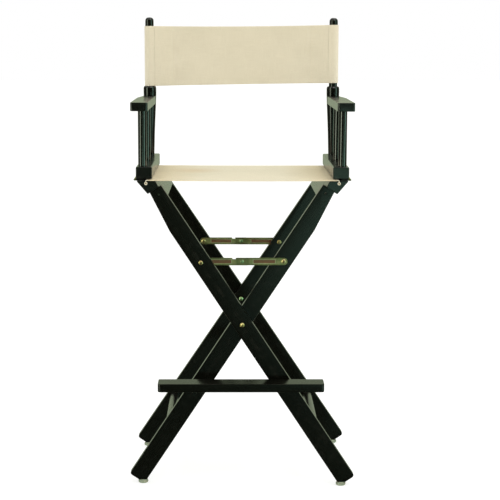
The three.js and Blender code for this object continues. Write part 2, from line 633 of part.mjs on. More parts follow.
// ---- footrest -----------------------------------------------------------------------------
// The board turns on a bolt driven from behind the outer front leg, and its other side rests
// on a peg in the inner front leg.
const FOOTREST_PIVOT_X = FOOTREST_PIVOT_DOWN * SIN;
const FOOTREST_BOLT_DEPTH = 26;
{
  const outline = roundedOutline([
    [FOOTREST_CENTRE_X - FOOTREST_HALF_LENGTH, FOOTREST_FRONT_Y, FOOTREST_CORNER],
    [FOOTREST_CENTRE_X + FOOTREST_HALF_LENGTH, FOOTREST_FRONT_Y, FOOTREST_CORNER],
    [FOOTREST_CENTRE_X + FOOTREST_HALF_LENGTH, FOOTREST_BACK_Y, 4],
    [FOOTREST_CENTRE_X - FOOTREST_HALF_LENGTH, FOOTREST_BACK_Y, 4],
  ]);
  const at = (geometry) => geometry.translate(FOOTREST_PIVOT_X, 0, FOOTREST_Z);
  const boltEnd = FOOTREST_BACK_Y - FOOTREST_BOLT_DEPTH;
  const hole = rod("y", X_BOLT_RADIUS + GAP, boltEnd - 1, FOOTREST_BACK_Y + 1, 16);
  const board = slab(outline, FOOTREST_TOP - FOOTREST_THICKNESS, FOOTREST_TOP, 5, EDGE);
  add(chair, "footrest_board", cut(board, at(hole)), lacquer);
  const bolt = join(
    rod("y", X_BOLT_RADIUS, boltEnd, FRONT_STAY_Y - 4, 16),
    rod("y", 7.8, FRONT_STAY_Y - 4.6, FRONT_STAY_Y - 0.6, 18),
  );
  add(chair, "footrest_bolt", at(bolt), zinc);
  const washer = cut(
    rod("y", 7.5, FOOTREST_BACK_Y + GAP, OUTER_FRONT_Y - GAP, 20),
    rod("y", X_BOLT_RADIUS + GAP, FOOTREST_BACK_Y - 1, OUTER_FRONT_Y + 1, 16),
  );
  add(chair, "footrest_washer", at(washer), nylon);
  const pegFront = FOOTREST_FRONT_Y + 10;
  const peg = rod("y", PEG_RADIUS, pegFront, INNER_FRONT_Y + LEG_THICKNESS, 14);
  add(innerFrame, "footrest_peg", peg.translate(-PEG_ABOVE, 0, -PEG_DOWN), lacquer);
}

// ---- canvas -------------------------------------------------------------------------------
const HEM_INSIDE = SEAT_DOWEL_RADIUS + GAP;
const HEM_OUTSIDE = GROOVE_RADIUS - GAP;
const SEAT_HALF_DEPTH = HALF_DEPTH - 1;
const SEAT_CLOTH_Z = SEAT_RAIL_TOP + 0.8; // underside of the cloth over the rail

// Seat: a taut sheet that turns down into each groove and closes round the hem dowel.
{
  const y0 = -SEAT_HALF_DEPTH;
  const y1 = SEAT_HALF_DEPTH;
  const half = CANVAS / 2;
  const edge = GROOVE_X + half;
  const pieces = [box(-edge, edge, y0, y1, SEAT_CLOTH_Z, SEAT_CLOTH_Z + CANVAS)];
  const holes = [];
  for (const side of [-1, 1]) {
    const x = side * GROOVE_X;
    pieces.push(box(x - half, x + half, y0, y1, GROOVE_Z + HEM_INSIDE, SEAT_CLOTH_Z + half));
    pieces.push(rod("y", HEM_OUTSIDE, y0, y1, 18).translate(x, 0, GROOVE_Z));
    holes.push(rod("y", HEM_INSIDE, y0 - 1, y1 + 1, 18).translate(x, 0, GROOVE_Z));
    const dowel = rod("y", SEAT_DOWEL_RADIUS, y0, y1, 14).translate(x, 0, GROOVE_Z);
    add(chair, side < 0 ? "seat_dowel_left" : "seat_dowel_right", dowel, rawWood);
  }
  add(chair, "seat_canvas", cut(join(...pieces), ...holes), canvas);
}

// A drop-shaped outline: a circle about the post and its two tangents to a point inboard.
function sleeveOutline(side, radius, reach) {
  const touch = Math.PI - Math.acos(radius / reach);
  const shape = new THREE.Shape();
  const steps = 14;
  for (let i = 0; i <= steps; i += 1) {
    const angle = side * (-touch + (2 * touch * i) / steps);
    const x = side * (POST_X + radius * Math.cos(Math.abs(angle)));
    const y = POST_Y + radius * Math.sin(angle) * side;
    if (i === 0) shape.moveTo(x, y);
    else shape.lineTo(x, y);
  }
  shape.lineTo(side * (POST_X - reach), POST_Y);
  shape.closePath();
  return shape;
}

// Back: a flat panel between two sleeves, each sewn to the panel inboard of its post.
{
  const inside = POST_RADIUS + GAP;
  const panelEnd = POST_X - BACK_SEAM + 12;
  const half = CANVAS / 2;
  const panel = box(-panelEnd, panelEnd, POST_Y - half, POST_Y + half, BACK_BOTTOM, BACK_TOP);
  const sleeves = [];
  const hollows = [];
  for (const side of [-1, 1]) {
    sleeves.push(slab(sleeveOutline(side, inside + CANVAS, BACK_SEAM + 6), BACK_BOTTOM, BACK_TOP));
    hollows.push(slab(sleeveOutline(side, inside, BACK_SEAM - 14), BACK_BOTTOM - 1, BACK_TOP + 1));
  }
  add(chair, "back_canvas", cut(join(panel, ...sleeves), ...hollows), canvas);
}

export default chair;
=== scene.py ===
import math

import bpy
import numpy as np
from mathutils import Matrix, Vector


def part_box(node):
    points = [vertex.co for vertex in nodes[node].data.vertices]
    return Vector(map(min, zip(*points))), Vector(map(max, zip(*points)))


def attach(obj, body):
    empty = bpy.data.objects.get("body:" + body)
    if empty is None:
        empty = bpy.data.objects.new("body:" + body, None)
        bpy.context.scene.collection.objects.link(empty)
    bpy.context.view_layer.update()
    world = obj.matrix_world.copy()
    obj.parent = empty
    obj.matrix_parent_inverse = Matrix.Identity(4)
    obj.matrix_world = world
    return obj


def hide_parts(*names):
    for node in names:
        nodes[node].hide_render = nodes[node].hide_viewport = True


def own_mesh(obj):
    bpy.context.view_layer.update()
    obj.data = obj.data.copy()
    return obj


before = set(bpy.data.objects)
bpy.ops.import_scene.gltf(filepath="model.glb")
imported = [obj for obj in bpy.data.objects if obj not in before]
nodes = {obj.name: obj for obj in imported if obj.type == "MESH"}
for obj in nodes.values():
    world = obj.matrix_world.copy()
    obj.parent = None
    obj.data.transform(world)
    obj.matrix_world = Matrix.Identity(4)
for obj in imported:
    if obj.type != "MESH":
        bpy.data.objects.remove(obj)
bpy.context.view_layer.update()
scene = bpy.context.scene

# ---------------------------------------------------------------------------- places in the frame
RAIL_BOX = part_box("seat_rail_left")
SHIFT_Y = (RAIL_BOX[0].y + RAIL_BOX[1].y) / 2  # the chair's own middle, front to back
BACK_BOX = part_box("back_canvas")
POST_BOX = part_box("post_right")
POST_X = (POST_BOX[0].x + POST_BOX[1].x) / 2
POST_Y = (POST_BOX[0].y + POST_BOX[1].y) / 2


# ---------------------------------------------------------------------------- node material helpers
class Nodes:
    """A short way to write a node tree: methods add a node, link what is given and return it."""

    def __init__(self, name):
        self.material = bpy.data.materials.new(name)
        self.material.use_nodes = True
        self.tree = self.material.node_tree
        self.tree.nodes.clear()
        self.out = self.tree.nodes.new("ShaderNodeOutputMaterial")

    def put(self, socket, value):
        if isinstance(value, bpy.types.NodeSocket):
            self.tree.links.new(value, socket)
        elif value is not None:
            socket.default_value = value

    def add(self, kind, inputs=None, out=0, **props):
        node = self.tree.nodes.new(kind)
        for key, value in props.items():
            setattr(node, key, value)
        for key, value in (inputs or {}).items():
            self.put(node.inputs[key], value)
        return node.outputs[out]

    def math(self, operation, a, b=None, c=None, clamp=False):
        node = self.tree.nodes.new("ShaderNodeMath")
        node.operation = operation
        node.use_clamp = clamp
        for socket, value in zip(node.inputs, (a, b, c)):
            self.put(socket, value)
        return node.outputs[0]

    def mix(self, factor, a, b, blend="MIX"):
        node = self.tree.nodes.new("ShaderNodeMix")
        node.data_type = "RGBA"
        node.blend_type = blend
        self.put(node.inputs["Factor"], factor)
        self.put(node.inputs["A"], a)
        self.put(node.inputs["B"], b)
        return node.outputs["Result"]

    def ramp(self, factor, *stops):
        node = self.tree.nodes.new("ShaderNodeValToRGB")
        elements = node.color_ramp.elements
        while len(elements) < len(stops):
            elements.new(0.5)
        for element, (position, colour) in zip(elements, stops):
            element.position = position
            element.color = colour if hasattr(colour, "__len__") else (colour, colour, colour, 1)
        self.put(node.inputs[0], factor)
        return node.outputs[0]

    def noise(self, scale, detail=3.0, rough=0.5, vector=None, distortion=0.0):
        inputs = {"Scale": scale, "Detail": detail, "Roughness": rough, "Distortion": distortion}
        if vector is not None:
            inputs["Vector"] = vector
        return self.add("ShaderNodeTexNoise", inputs)

    def mapping(self, vector, scale=(1, 1, 1), rotation=(0, 0, 0), location=(0, 0, 0)):
        return self.add(
            "ShaderNodeMapping",
            {"Vector": vector, "Scale": scale, "Rotation": rotation, "Location": location},
        )

    def coords(self, which="Object"):
        return self.tree.nodes.new("ShaderNodeTexCoord").outputs[which]

    def bump(self, height, strength, distance, normal=None):
        inputs = {"Height": height, "Strength": strength, "Distance": distance}
        if normal is not None:
            inputs["Normal"] = normal
        return self.add("ShaderNodeBump", inputs)

    def finish(self, **inputs):
        node = self.tree.nodes.new("ShaderNodeBsdfPrincipled")
        for key, value in inputs.items():
            self.put(node.inputs[key.replace("_", " ")], value)
        self.tree.links.new(node.outputs[0], self.out.inputs["Surface"])
        return self.material


def rgb(red, green, blue):
    return (red, green, blue, 1.0)


# ---------------------------------------------------------------------------- materials
def lacquer(name, along, gloss=1.0, least_rough=0.20):
    """Black lacquer over wood: faint grain along one direction, orange peel and worn edges."""
    n = Nodes(name)
    base = n.mapping(n.coords(), rotation=along)
    grain = n.noise(1.0, 5, 0.6, n.mapping(base, scale=(260, 260, 9)), 0.3)
    pores = n.noise(1.0, 2, 0.5, n.mapping(base, scale=(1400, 1400, 60)))
    peel = n.noise(420, 2, 0.5, base)
    cloud = n.noise(7, 3, 0.6, base)
    colour = n.ramp(
        grain,
        (0.3, rgb(0.0022, 0.0024, 0.0012)),
        (0.7, rgb(0.0038, 0.0041, 0.0021)),
    )
    edge = n.ramp(n.add("ShaderNodeNewGeometry", out="Pointiness"), (0.56, 0.0), (0.66, 1.0))
    wear = n.math("MULTIPLY", edge, n.ramp(n.noise(60, 4, 0.65, base), (0.5, 0.0), (0.75, 1.0)))
    colour = n.mix(n.math("MULTIPLY", wear, 0.35), colour, rgb(0.06, 0.055, 0.04))
    rough = n.math("ADD", n.math("MULTIPLY", cloud, 0.08), n.math("MULTIPLY", pores, 0.08))
    rough = n.math("ADD", rough, least_rough)
    height = n.math("ADD", n.math("MULTIPLY", grain, 0.5), n.math("MULTIPLY", pores, 0.35))
    height = n.math("ADD", height, n.math("MULTIPLY", peel, 0.25))
    return n.finish(
        Base_Color=colour,
        Roughness=rough,
        Normal=n.bump(height, 0.14, 0.00025),
        Coat_Weight=0.35 * gloss,
        Coat_Roughness=0.7 * least_rough,
        IOR=1.5,
        Specular_IOR_Level=0.5 * gloss,
    )


def canvas(name, painted_side_shade_tint=(1.0, 1.0, 1.0), painted_low_edge_light=(1.0, 1.0, 1.0), dimple_shade_spot=None):
    """Plain-weave cotton: crossed yarns, slubs, uneven dye, painted shade in the weave's hollows and
    a soft sheen.
    The cloth is multiplied by a side tint towards its two ends (painted shade on the seat, near the
    rails), by a low tint at its first edge (painted light), and by a soft brown painted shade over a
    dimple, given as (u, v, radius)."""
    n = Nodes(name)
    uv = n.coords("UV")
    pitch = 1250.0
    ends = n.math("ABSOLUTE", n.add("ShaderNodeSeparateXYZ", {"Vector": uv}))
    split = n.tree.nodes.new("ShaderNodeSeparateXYZ")
    n.put(split.inputs[0], n.mapping(uv, scale=(pitch, pitch, 1)))
    u, v = split.outputs[0], split.outputs[1]
    warp = n.math("ABSOLUTE", n.math("SINE", n.math("MULTIPLY", u, math.pi)))
    weft = n.math("ABSOLUTE", n.math("SINE", n.math("MULTIPLY", v, math.pi)))
    parity = n.math("MODULO", n.math("ADD", n.math("FLOOR", u), n.math("FLOOR", v)), 2)
    over = n.math("MULTIPLY", warp, n.math("ADD", 0.6, n.math("MULTIPLY", weft, 0.4)))
    under = n.math("MULTIPLY", weft, n.math("ADD", 0.6, n.math("MULTIPLY", warp, 0.4)))
    weave = n.mix(n.math("ABSOLUTE", parity), over, under)
    slub_u = n.noise(1.0, 3, 0.6, n.mapping(uv, scale=(900, 26, 1)))
    slub_v = n.noise(1.0, 3, 0.6, n.mapping(uv, scale=(24, 820, 1)))
    cloud = n.noise(9, 4, 0.6, uv)
    low = n.add("ShaderNodeSeparateXYZ", {"Vector": uv}, out=1)
    fuzz = n.noise(5200, 2, 0.6, uv)
    tint = n.ramp(
        n.math("MULTIPLY", n.math("ADD", slub_u, slub_v), 0.5),
        (0.34, rgb(0.780, 0.698, 0.520)),
        (0.50, rgb(0.818, 0.740, 0.556)),
        (0.66, rgb(0.850, 0.777, 0.592)),
    )
    shade = n.ramp(cloud, (0.3, rgb(0.93, 0.93, 0.92)), (0.7, rgb(1, 1, 1)))
    tint = n.mix(1.0, tint, shade, "MULTIPLY")
    # Painted shade: the side tint darkens the cloth towards its two ends, where the seat meets the
    # rails.
    side = n.mix(1.0, tint, rgb(*painted_side_shade_tint), "MULTIPLY")
    tint = n.mix(n.ramp(ends, (0.10, 0.0), (0.20, 1.0)), tint, side)
    # Painted light: the low tint lightens the cloth along its first edge.
    foot = n.mix(1.0, tint, rgb(*painted_low_edge_light), "MULTIPLY")
    tint = n.mix(n.ramp(low, (0.01, 1.0), (0.16, 0.0)), tint, foot)
    # Painted shade: a soft brown over the seat's dimple, fading out at the given radius.
    if dimple_shade_spot:
        span = {0: uv, 1: (dimple_shade_spot[0], dimple_shade_spot[1], 0)}
        middle = n.add("ShaderNodeVectorMath", span, out=1, operation="DISTANCE")
        dimple_shade_colour = n.mix(1.0, tint, rgb(0.90, 0.80, 0.67), "MULTIPLY")
        tint = n.mix(n.ramp(n.math("DIVIDE", middle, dimple_shade_spot[2]), (0.1, 0.8), (1.0, 0.0)), tint, dimple_shade_colour)
    # Painted shade in the hollows of the weave.
    weave_hollow_shade = n.ramp(weave, (0.0, rgb(0.80, 0.78, 0.74)), (0.45, rgb(1, 1, 1)))
    tint = n.mix(0.75, tint, weave_hollow_shade, "MULTIPLY")
    height = n.math("ADD", weave, n.math("MULTIPLY", slub_u, 0.9))
    height = n.math("ADD", height, n.math("MULTIPLY", slub_v, 0.9))
    height = n.math("ADD", height, n.math("MULTIPLY", fuzz, 0.3))
    return n.finish(
        Base_Color=tint,
        Roughness=n.math("ADD", 0.82, n.math("MULTIPLY", slub_u, 0.12)),
        Normal=n.bump(height, 0.35, 0.0002),
        Sheen_Weight=0.25,
        Sheen_Roughness=0.5,
        Specular_IOR_Level=0.25,
    )


def plating(name, light, dark, rough=0.28):
    """Plated steel: mottled passivation colours, fine rolling lines and dulled spots."""
    n = Nodes(name)
    base = n.coords()
    blotch = n.noise(90, 4, 0.65, base, 0.6)
    lines = n.noise(1.0, 3, 0.6, n.mapping(base, scale=(60, 900, 900)))
    iris = n.noise(38, 2, 0.5, base, 1.2)
    colour = n.mix(n.ramp(blotch, (0.38, 0.0), (0.62, 1.0)), rgb(*light), rgb(*dark))
    colour = n.mix(n.ramp(iris, (0.52, 0.0), (0.72, 0.45)), colour, rgb(0.62, 0.36, 0.30))
    colour = n.mix(n.ramp(iris, (0.25, 0.4), (0.42, 0.0)), colour, rgb(0.40, 0.58, 0.25))
    roughness = n.math("ADD", rough, n.math("MULTIPLY", lines, 0.16))
    height = n.math("ADD", lines, n.math("MULTIPLY", blotch, 0.5))
    return n.finish(
        Base_Color=colour,
        Metallic=1.0,
        Roughness=roughness,
        Normal=n.bump(height, 0.2, 0.0001),
    )


def stay_plating(name):
    """Yellow plating, browner in the pressed channels and greener round the centre rivet, with a
    painted highlight on the channels' rims and painted shade along the arms' edges.
    """
    n = Nodes(name)
    base = n.coords()
    place = n.tree.nodes.new("ShaderNodeSeparateXYZ")
    n.put(place.inputs[0], base)
    across = n.math("ABSOLUTE", place.outputs[0])
    up = n.math("ABSOLUTE", n.math("SUBTRACT", place.outputs[2], STAY_Z))
    blotch = n.noise(90, 4, 0.65, base, 0.6)
    lines = n.noise(1.0, 3, 0.6, n.mapping(base, scale=(60, 900, 900)))
    mottle = n.ramp(blotch, (0.38, 0.0), (0.62, 1.0))
    colour = n.mix(mottle, rgb(0.80, 0.68, 0.33), rgb(0.56, 0.54, 0.24))
    centre = n.ramp(n.math("MULTIPLY", across, 10), (0.13, 1.0), (0.22, 0.0))
    colour = n.mix(n.math("MULTIPLY", centre, 0.6), colour, rgb(0.26, 0.27, 0.12))
    # Painted shade: the arms darken towards their top and bottom edges.
    painted_edge_shade = n.ramp(n.math("MULTIPLY", up, 100), (0.66, 0.0), (0.84, 0.65))
    colour = n.mix(painted_edge_shade, colour, rgb(0.12, 0.11, 0.05))
    # Painted highlight on the channel rims, then the channel floors over it.
    for low, high, half, light, deep in STAY_RIM_HIGHLIGHT_AND_CHANNEL:
        past = n.math("GREATER_THAN", across, low)
        inside = n.math("MULTIPLY", past, n.math("LESS_THAN", across, high))
        inside = n.math("MULTIPLY", inside, n.math("LESS_THAN", up, half))
        colour = n.mix(inside, colour, n.mix(blotch, rgb(*light), rgb(*deep)))
    return n.finish(
        Base_Color=colour,
        Metallic=1.0,
        Roughness=n.math("ADD", 0.30, n.math("MULTIPLY", lines, 0.16)),
        Normal=n.bump(n.math("ADD", lines, n.math("MULTIPLY", blotch, 0.5)), 0.2, 0.0001),
    )


def hinge_plating(name):
    """Plated hinge leaves, painted over with the rails inboard of the knuckles."""
    n = Nodes(name)
    base = n.coords()
    blotch = n.noise(90, 4, 0.65, base, 0.6)
    bare = n.math(
        "GREATER_THAN",
        n.math("ABSOLUTE", n.add("ShaderNodeSeparateXYZ", {"Vector": base})),
        HINGE_BARE_X,
    )
    mottle = n.ramp(blotch, (0.38, 0.0), (0.62, 1.0))
    metal = n.mix(mottle, rgb(0.66, 0.56, 0.27), rgb(0.40, 0.40, 0.17))
    return n.finish(
        Base_Color=n.mix(bare, rgb(0.006, 0.007, 0.005), metal),
        Metallic=bare,
        Roughness=n.math("ADD", 0.30, n.math("MULTIPLY", blotch, 0.15)),
        Normal=n.bump(blotch, 0.2, 0.0001),
    )


def nylon(name, dark=(0.24, 0.28, 0.19), pale=(0.36, 0.41, 0.28)):
    n = Nodes(name)
    base = n.coords()
    scuff = n.noise(1.0, 5, 0.7, n.mapping(base, scale=(240, 240, 900)))
    dirt = n.noise(110, 4, 0.6, base)
    colour = n.ramp(dirt, (0.3, rgb(*dark)), (0.65, rgb(*pale)))
    return n.finish(
        Base_Color=colour,
        Roughness=n.math("ADD", 0.38, n.math("MULTIPLY", scuff, 0.25)),
        Normal=n.bump(scuff, 0.2, 0.0002),
        Subsurface_Weight=0.15,
        Subsurface_Scale=0.004,
    )


def bare_wood(name):
    n = Nodes(name)
    base = n.coords()
    grain = n.noise(1.0, 5, 0.6, n.mapping(base, scale=(500, 14, 500)), 0.4)
    colour = n.ramp(grain, (0.3, rgb(0.42, 0.27, 0.14)), (0.7, rgb(0.66, 0.48, 0.29)))
    return n.finish(Base_Color=colour, Roughness=0.7, Normal=n.bump(grain, 0.3, 0.0003))


def thread(name):
    n = Nodes(name)
    twist = n.noise(1.0, 2, 0.5, n.mapping(n.coords(), scale=(2600, 2600, 2600)))
    colour = n.ramp(twist, (0.3, rgb(0.70, 0.63, 0.48)), (0.7, rgb(0.86, 0.80, 0.65)))
    return n.finish(Base_Color=colour, Roughness=0.75, Normal=n.bump(twist, 0.4, 0.0002))


LEG_LEAN = math.radians(33.3)
STAY_Z = (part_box("front_stay_arm_left")[0].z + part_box("front_stay_arm_left")[1].z) / 2
HINGE_BARE_X = 0.2574  # beyond it the hinge leaves show bare plating
# The first row is a painted highlight on each pressed channel's rim; the second is the channel's
# floor.
STAY_RIM_HIGHLIGHT_AND_CHANNEL = (  # from and to along an arm, half width, two colours: first the rim, then the floor
    (0.0250, 0.0825, 0.0054, (1.00, 0.88, 0.55), (0.85, 0.72, 0.42)),
    (0.0275, 0.0800, 0.0040, (0.72, 0.30, 0.20), (0.50, 0.25, 0.15)),
)
MATS = {
    "leg_out": lacquer("lacquer_outer_leg", (0, LEG_LEAN, 0), gloss=0.4),
    "leg_in": lacquer("lacquer_inner_leg", (0, -LEG_LEAN, 0), gloss=0.6),
    "rail": lacquer("lacquer_rail", (math.pi / 2, 0, 0)),
    "dowel": lacquer("lacquer_dowel", (0, 0, 0), least_rough=0.06),
    "post": lacquer("lacquer_post", (0, 0, 0), gloss=0.6, least_rough=0.08),
    "board": lacquer("lacquer_board", (0, math.pi / 2, 0), gloss=0.4),
    # The low tints of the back canvas and of the hem are painted light along their first edges.
    "canvas": canvas("canvas_weave", painted_low_edge_light=(1.06, 1.07, 1.10)),
    # The seat's side tint is painted shade towards the rails, and its patch is painted shade over a
    # dimple.
    "seat": canvas("canvas_seat", painted_side_shade_tint=(0.98, 0.92, 0.80), dimple_shade_spot=(-0.118, 0.27, 0.075)),
    "hem": canvas("canvas_hem", painted_low_edge_light=(1.1, 1.15, 1.15)),
    "zinc": plating("yellow_zinc", (0.66, 0.56, 0.27), (0.40, 0.40, 0.17)),
    "stay": stay_plating("stay_zinc"),
    "hinge": hinge_plating("hinge_zinc"),
    "brass": plating("gold_bolt", (0.80, 0.63, 0.28), (0.56, 0.43, 0.17), 0.30),
    "green": plating("green_bolt", (0.42, 0.56, 0.30), (0.26, 0.36, 0.18), 0.32),
    "steel": plating("plain_zinc", (0.10, 0.10, 0.09), (0.06, 0.06, 0.055), 0.45),
    "nylon": nylon("glide_nylon"),
    "washer": nylon("washer_nylon", (0.012, 0.013, 0.010), (0.030, 0.032, 0.025)),
    "wood": bare_wood("dowel_wood"),
    "thread": thread("stitch_thread"),
}


def material_of(name):
    if name.startswith("outer_leg"):
        return MATS["leg_out"]
    if name.startswith("inner_leg"):
        return MATS["leg_in"]
    if "rail" in name or "armrest" in name or "stretcher" in name or name == "footrest_peg":
        return MATS["rail"]
    if name.startswith("post"):
        return MATS["post"]
    if name.startswith(("front_dowel", "middle_dowel")):
        return MATS["dowel"]
    if name == "footrest_board":
        return MATS["board"]
    if name.startswith("seat_dowel"):
        return MATS["wood"]
    if name.startswith("glide"):
        return MATS["nylon"]
    if "washer" in name:
        return MATS["washer"]
    if "hinge" in name:
        return MATS["hinge"]
    if "stay_arm" in name:
        return MATS["stay"]
    if name.startswith("leg_bolt"):
        return MATS["steel"]
    if "rivet" in name or name == "pivot_bolt_rear" or name == "pivot_nut_rear":
        return MATS["green"]
    if "pivot" in name or "stay_bolt" in name:
        return MATS["brass"]
    return MATS["zinc"]


for name, piece in nodes.items():
    piece.data.materials.clear()
    piece.data.materials.append(material_of(name))
    for polygon in piece.data.polygons:
        polygon.use_smooth = True
    weld = piece.modifiers.new("weld", "WELD")
    weld.merge_threshold = 1e-5
    split = piece.modifiers.new("split", "EDGE_SPLIT")
    split.split_angle = math.radians(32)
    flat = piece.modifiers.new("flat", "WEIGHTED_NORMAL")
    flat.weight = 100
    flat.keep_sharp = True


# ---------------------------------------------------------------------------- mesh helpers
def new_mesh(name, verts, faces, uvs=None, material=None, smooth=True):
    """A mesh object; uvs gives one (u, v) per vertex, in metres of cloth."""
    mesh = bpy.data.meshes.new(name)
    mesh.from_pydata([tuple(v) for v in verts], [], faces)
    mesh.validate()
    mesh.update()
    if uvs is not None:
        layer = mesh.uv_layers.new(name="cloth")
        for loop in mesh.loops:
            layer.data[loop.index].uv = uvs[loop.vertex_index]
    for polygon in mesh.polygons:
        polygon.use_smooth = smooth
    piece = bpy.data.objects.new(name, mesh)
    scene.collection.objects.link(piece)
    if material:
        mesh.materials.append(material)
    return piece


def cloth(name, patches, thickness, material="canvas"):
    """Cloth through grids of points, given real thickness about its middle. UVs run in metres."""
    verts, faces, uvs = [], [], []
    for grid in patches:
        grid = np.asarray(grid, float)
        rows, columns = grid.shape[:2]
        first = len(verts)
        verts.extend(grid.reshape(-1, 3))
        along = np.linalg.norm(np.diff(grid, axis=0), axis=2).mean(axis=1)
        across = np.linalg.norm(np.diff(grid, axis=1), axis=2).mean(axis=0)
        v = np.concatenate([[0], np.cumsum(along)])
        u = np.concatenate([[0], np.cumsum(across)]) + grid[0, 0, 0]
        uvs.extend((u[j], v[i]) for i in range(rows) for j in range(columns))
        for i in range(rows - 1):
            for j in range(columns - 1):
                a = first + i * columns + j
                faces.append((a, a + 1, a + 1 + columns, a + columns))
    piece = new_mesh(name, verts, faces, uvs, MATS[material])
    solid = piece.modifiers.new("thickness", "SOLIDIFY")
    solid.thickness = thickness
    solid.offset = 0
    graph = bpy.context.evaluated_depsgraph_get()
    mesh = bpy.data.meshes.new_from_object(piece.evaluated_get(graph))
    piece.modifiers.clear()
    mesh.set_sharp_from_angle(angle=math.radians(50))
    piece.data = mesh
    return piece


STITCH_PITCH = 0.0042
STITCH_LENGTH = 0.0030
STITCH_RADIUS = 0.00038


def stitches(name, lines):
    """Thread stitches along lines of points, each lying on the cloth with its ends sunk in."""
    verts, faces = [], []
    for line in lines:
        line = np.asarray(line, float)
        steps = np.linalg.norm(np.diff(line, axis=0), axis=1)
        reach = np.concatenate([[0], np.cumsum(steps)])
        for k in range(int(reach[-1] / STITCH_PITCH)):
            start = k * STITCH_PITCH
            ends = [
                np.array([np.interp(s, reach, line[:, c]) for c in range(3)])
                for s in (start, start + STITCH_LENGTH)
            ]
            run = ends[1] - ends[0]
            run /= np.linalg.norm(run)
            side = np.cross(run, (0.0, 0.0, 1.0) if abs(run[2]) < 0.9 else (0.0, 1.0, 0.0))
            side /= np.linalg.norm(side)
            lift = np.cross(side, run)
            first = len(verts)
            for at, radius in ((0.0, 0.25), (0.3, 1.0), (0.7, 1.0), (1.0, 0.25)):
                middle = ends[0] + (ends[1] - ends[0]) * at
                for corner in range(6):
                    angle = corner * math.pi / 3
                    spoke = side * math.cos(angle) + lift * math.sin(angle)
                    verts.append(middle + spoke * STITCH_RADIUS * radius)
            for ring in range(3):
                for corner in range(6):
                    a = first + ring * 6 + corner
                    b = first + ring * 6 + (corner + 1) % 6
                    faces.append((a, b, b + 6, a + 6))
            faces.append(tuple(first + c for c in reversed(range(6))))
            faces.append(tuple(first + 18 + c for c in range(6)))
    piece = new_mesh(name, verts, faces, material=MATS["thread"])
    return piece


def hemmed(low, high, low_hem, high_hem, layer, rows):
    """(position, depth below the face) along a strip whose two ends are folded under."""
    bend = layer / 2
    path = [(low + low_hem, layer), (low + bend, layer)]
    path += [(low + bend - bend * math.sin(a), bend + bend * math.cos(a)) for a in (0.8, 1.57, 2.3)]
    path += [(low + bend + (high - low - layer) * i / rows, 0.0) for i in range(rows + 1)]
    path += [(high - bend + bend * math.sin(a), bend - bend * math.cos(a)) for a in (0.8, 1.57, 2.3)]
    path += [(high - bend, layer), (high - high_hem, layer)]
    return path


def near(value, centre, width):
    return math.exp(-(((value - centre) / width) ** 2))


# ---------------------------------------------------------------------------- seat canvas
GROOVE_X = 0.2332  # the hem dowel of each side, and the middle of its slot
GROOVE_Z = 0.7570
SEAT_FACE_Z = 0.7646
SEAT_EDGE = 0.2285  # where the flat panel ends and the hooked hem starts
SEAT_HALF = 0.1965  # half of the panel's depth
SEAT_THICK = 0.0011
HOOK_THICK = 0.0016
HOOK_HALF = 0.1995  # the hooks stand a little proud of the rails
SEAT_HEM = 0.013
HEM_LAYER = 0.0012
SEAT_STITCH = 0.0105  # from an edge to its row of stitching
SEAT_STITCH_END = 0.016  # the stitching stops this far short of the panel's ends
RAIL_INNER_X = 0.211  # where the seat leaves the rails


def seat_z(x, y):
    """The seat's face: a shallow sag with a soft dimple and pulls towards the rails."""
    inner = max(0.0, 1 - (x / RAIL_INNER_X) ** 2)
    sag = 0.0009 * inner * (0.75 + 0.25 * math.cos(y / SEAT_HALF * 1.3))
    dimple = 0.0012 * near(x, -0.118, 0.045) * near(y, 0.0, 0.12)
    pull = 0.00035 * math.sin(y * 150 + 1.3 * math.sin(y * 37)) * near(abs(x), 0.205, 0.03)
    pucker = 0.00030 * near(abs(y), SEAT_HALF - SEAT_STITCH, 0.0022)
    return SEAT_FACE_Z - sag - dimple + pull - pucker


def seat_panel():
    path = hemmed(-SEAT_HALF, SEAT_HALF, SEAT_HEM, SEAT_HEM, HEM_LAYER, 72)
    columns = np.linspace(-SEAT_EDGE, SEAT_EDGE, 81)
    grid = [[(x, y + SHIFT_Y, seat_z(x, y) - depth) for x in columns] for y, depth in path]
    return cloth("seat_canvas_panel", [grid], SEAT_THICK, "seat")


def seat_hook(side):
    """The hooked hem: down through the slot and round the dowel."""
    cloth_radius = 0.00295
    bend = 0.0019
    section = [(SEAT_EDGE - 0.0005, SEAT_FACE_Z)]
    for step in range(6):
        angle = step / 5 * math.pi / 2
        section.append(
            (GROOVE_X - bend + bend * math.sin(angle), SEAT_FACE_Z - bend + bend * math.cos(angle))
        )
    section.append((GROOVE_X + 0.0002, GROOVE_Z + 0.0043))
    for step in range(15):
        angle = math.radians(62 - step * 23)
        section.append(
            (GROOVE_X + cloth_radius * math.cos(angle), GROOVE_Z + cloth_radius * math.sin(angle))
        )
    if side > 0:
        section = section[::-1]
    ys = np.linspace(-HOOK_HALF, HOOK_HALF, 41)
    grid = [[(side * x, y + SHIFT_Y, z) for x, z in section] for y in ys]
    word = "left" if side < 0 else "right"
    return cloth(f"seat_hem_{word}", [grid], HOOK_THICK, "hem")


def seat_stitch_lines():
    lines = []
    for y in (-SEAT_HALF + SEAT_STITCH, SEAT_HALF - SEAT_STITCH):
        xs = np.linspace(-SEAT_EDGE + SEAT_STITCH_END, SEAT_EDGE - SEAT_STITCH_END, 160)
        lines.append([(x, y + SHIFT_Y, seat_z(x, y) + SEAT_THICK / 2) for x in xs])
    return lines


seat = seat_panel()
hooks = {side: seat_hook(side) for side in (-1, 1)}
seat_thread = stitches("seat_stitching", seat_stitch_lines())


